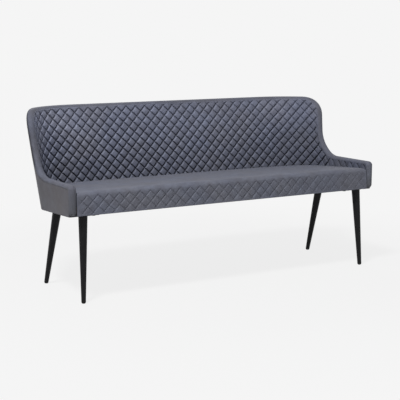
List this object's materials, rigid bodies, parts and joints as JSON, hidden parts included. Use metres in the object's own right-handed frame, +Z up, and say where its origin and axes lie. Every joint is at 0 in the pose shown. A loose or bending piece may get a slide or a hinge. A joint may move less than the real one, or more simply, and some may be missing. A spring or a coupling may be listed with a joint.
{
  "type": "upholstered bench",
  "caption": "Upholstered dining bench with a low quilted wrap-round back, swept arms and a plain padded seat on splayed tapered round metal legs.",
  "frame": {"origin": "centre of the bounding box's base, on the floor", "axes": "+X to the right as seen from the front, the front faces -Y, +Z up"},
  "size_m": [1.6406, 0.632, 0.806],
  "materials": {
    "cover": "matt grey faux leather",
    "quilt": "matt grey faux leather, diamond quilted",
    "seat": "soft satin grey faux leather",
    "legs": "satin black powder coat",
    "glides": "matt black",
    "fixings": "zinc plated",
    "frame_wood": "plain sawn",
    "plywood": "plain ply",
    "foam": "open-cell foam",
    "webbing": "woven black",
    "dust_cover": "matt black non-woven"
  },
  "bodies": {
    "root": {"leg_front_left": "legs", "leg_front_right": "legs", "leg_rear_left": "legs", "leg_rear_right": "legs", "glide_front_left": "glides", "glide_front_right": "glides", "glide_rear_left": "glides", "glide_rear_right": "glides", "leg_bolts": "fixings", "tee_nuts": "fixings", "block_front_left": "frame_wood", "block_front_right": "frame_wood", "block_rear_left": "frame_wood", "block_rear_right": "frame_wood", "front_rail": "frame_wood", "rear_rail": "frame_wood", "side_rail_left": "frame_wood", "side_rail_right": "frame_wood", "corner_rail_left": "plywood", "corner_rail_right": "plywood", "stretcher": "frame_wood", "bearer_left": "frame_wood", "bearer_middle": "frame_wood", "bearer_right": "frame_wood", "cross_webbing": "webbing", "long_webbing": "webbing", "dust_cover": "dust_cover", "seat_foam": "foam", "seat_cover": "seat", "front_panel": "quilt", "back_shell": "plywood", "arm_panel_left": "plywood", "arm_panel_right": "plywood", "joint_batten_left": "frame_wood", "joint_batten_right": "frame_wood", "back_foam": "foam", "arm_foam_left": "foam", "arm_foam_right": "foam", "quilted_back": "quilt", "quilted_arm_left": "quilt", "quilted_arm_right": "quilt", "outside_back": "cover", "outside_arm_left": "cover", "outside_arm_right": "cover", "edge_roll": "cover", "rim_welt": "cover"}
  },
  "joints": []
}
